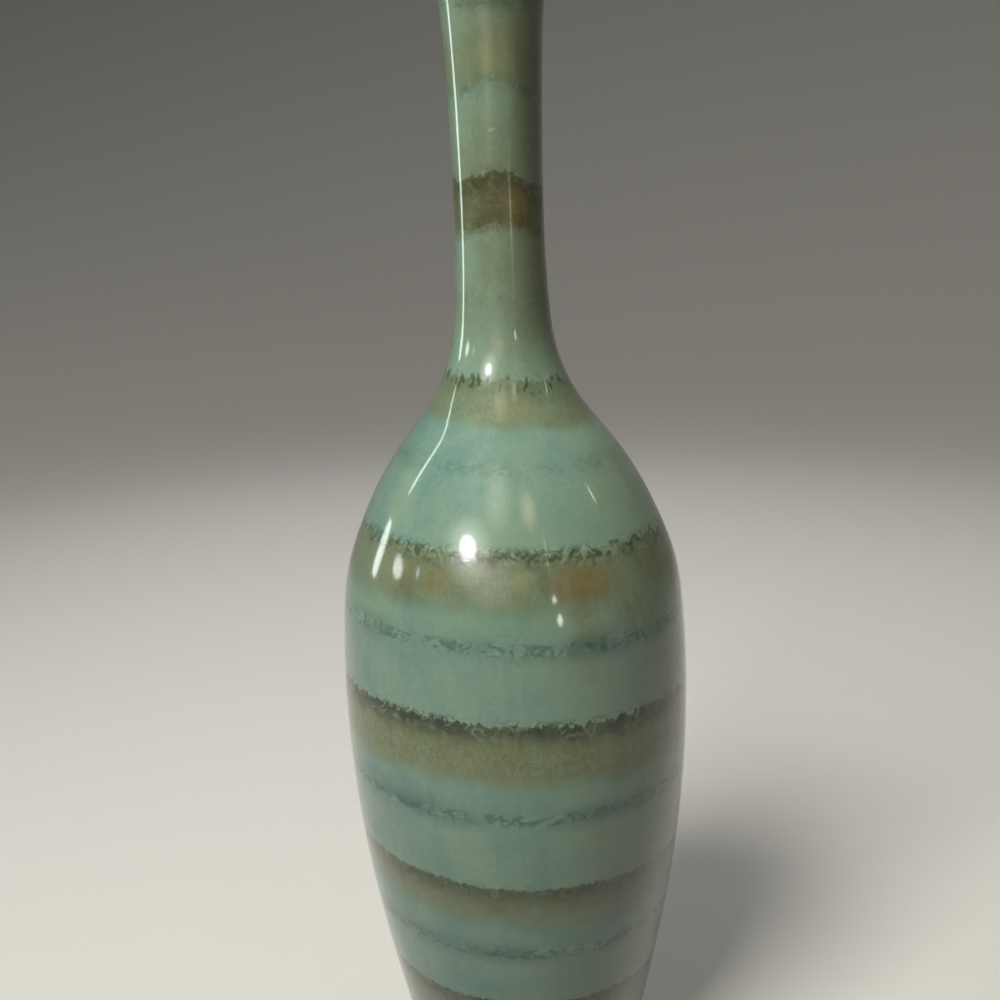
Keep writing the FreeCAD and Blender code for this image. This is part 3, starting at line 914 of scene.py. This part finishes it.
def makeFibreCoat(f):
    tree, add, identifiers, given = newTree("feltFibres", [
        ("Fibres", "Float", 420.0), ("Fibre Length", "Float", 0.0007), ("Fibre Radius", "Float", 0.00003),
        ("Pad Thickness", "Float", 0.002), ("Seed", "Int", 5), ("Material", "Material", None)])
    # only the cut edge carries loose fibres, because the two faces are pressed and glued or stood on
    facing = add("SeparateXYZ", (add("InputNormal"),)).node.outputs["Z"]
    cutEdge = add("Compare:LESS_THAN", (add("Math:ABSOLUTE", (facing,)), f["steepest"]))
    spread = add("DistributePointsOnFaces", {"Mesh": given["Geometry"], "Selection": cutEdge,
                                             "Density": given["Fibres"], "Seed": given["Seed"]}).node
    arc = add("CurveArc", {"Resolution": 4, "Radius": given["Fibre Length"],
                           "Sweep Angle": math.radians(f["curl"])})
    rod = add("CurvePrimitiveCircle", {"Resolution": 3, "Radius": given["Fibre Radius"]})
    fibre = add("CurveToMesh", {"Curve": arc, "Profile Curve": rod, "Fill Caps": True})
    # moved so that the fibre starts at its own origin
    start = add("CombineXYZ", {"X": add(times, (given["Fibre Length"], -1.0))})
    fibre = add("Transform", {"Geometry": fibre, "Translation": start})
    twist = add("RandomValue:FLOAT_VECTOR", {"Min": tuple(-angle for angle in f["twist"]), "Max": f["twist"],
                                             "Seed": given["Seed"]})
    size = add("RandomValue", {2: f["sizes"][0], 3: f["sizes"][1], "Seed": given["Seed"]})
    # shorter near the floor and the foot, so that none goes through them
    fromFloor = add("SeparateXYZ", (add("InputPosition"),)).node.outputs["Z"]
    fromFoot = add("Math:SUBTRACT", (given["Pad Thickness"], fromFloor))
    room = add("Math:MINIMUM", (fromFloor, fromFoot))
    share = add("Math:DIVIDE", (room, add(times, (given["Fibre Length"], f["standOff"]))))
    size = add("Math:MINIMUM", (size, share))
    roomy = add("Compare:GREATER_THAN", (share, f["shortest"]))
    turned = add("RotateEuler", (spread.outputs["Rotation"], twist), space="LOCAL")
    placed = add("InstanceOnPoints", {"Points": spread.outputs["Points"], "Instance": fibre,
                                      "Rotation": turned, "Scale": size, "Selection": roomy})
    coat = add("JoinGeometry", (placed,))
    tree.links.new(given["Geometry"], coat.node.inputs[0])
    endTree(add, given, coat)
    return tree, identifiers


def makeFeltPad(number, tree, identifiers, material, f):
    node = "felt_pad_%d" % number
    low, high = (Vector(corner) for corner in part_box(node))
    edge = f["edgeRound"] * mm
    centre, radius, top = (low + high) / 2, (high.x - low.x) / 2 - edge, high.z - low.z
    # from the bottom face round the cut edge to the top face: softly rounded, fullest in the middle
    side = [(radius * 0.5, 0), (radius - edge, 0), (radius, edge * 0.4), (radius + edge * 0.3, top / 3),
            (radius, top * 2 / 3), (radius - edge * 0.2, top - edge * 0.3), (radius - edge, top),
            (radius * 0.5, top)]
    points, quads, caps, turns, rows = [], [], [], f["sides"], len(side)
    bottomMiddle, topMiddle = turns * rows, turns * rows + 1
    for turn in range(turns):
        angle = 2 * math.pi * turn / turns
        points += [Vector((r * math.cos(angle), r * math.sin(angle), z)) for r, z in side]
        here, there = turn * rows, (turn + 1) % turns * rows
        quads += [(here + i, there + i, there + i + 1, here + i + 1) for i in range(rows - 1)]
        caps += [(bottomMiddle, there, here), (topMiddle, here + rows - 1, there + rows - 1)]
    points += [Vector((0, 0, 0)), Vector((0, 0, top))]
    mesh = bpy.data.meshes.new("feltPad%d" % number)
    mesh.from_pydata([p + Vector((centre.x, centre.y, low.z)) for p in points], [], quads + caps)
    pad = bpy.data.objects.new(mesh.name, mesh)
    scene.collection.objects.link(pad)
    cutArea = 2 * math.pi * radius * top
    bakeShape(pad, tree, identifiers, {
        "Fibres": f["fibres"] / cutArea, "Fibre Length": f["fibreLength"] * mm,
        "Fibre Radius": f["fibreRadius"] * mm, "Pad Thickness": top, "Seed": f["seed"] + number,
        "Material": material})
    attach(pad, "root")
    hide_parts(node)


fibreTree, fibreInputs = makeFibreCoat(feltPads)
feltMaterial = makeFelt()
for padNumber in range(1, 5):
    makeFeltPad(padNumber, fibreTree, fibreInputs, feltMaterial, feltPads)
print("felt pads ready")
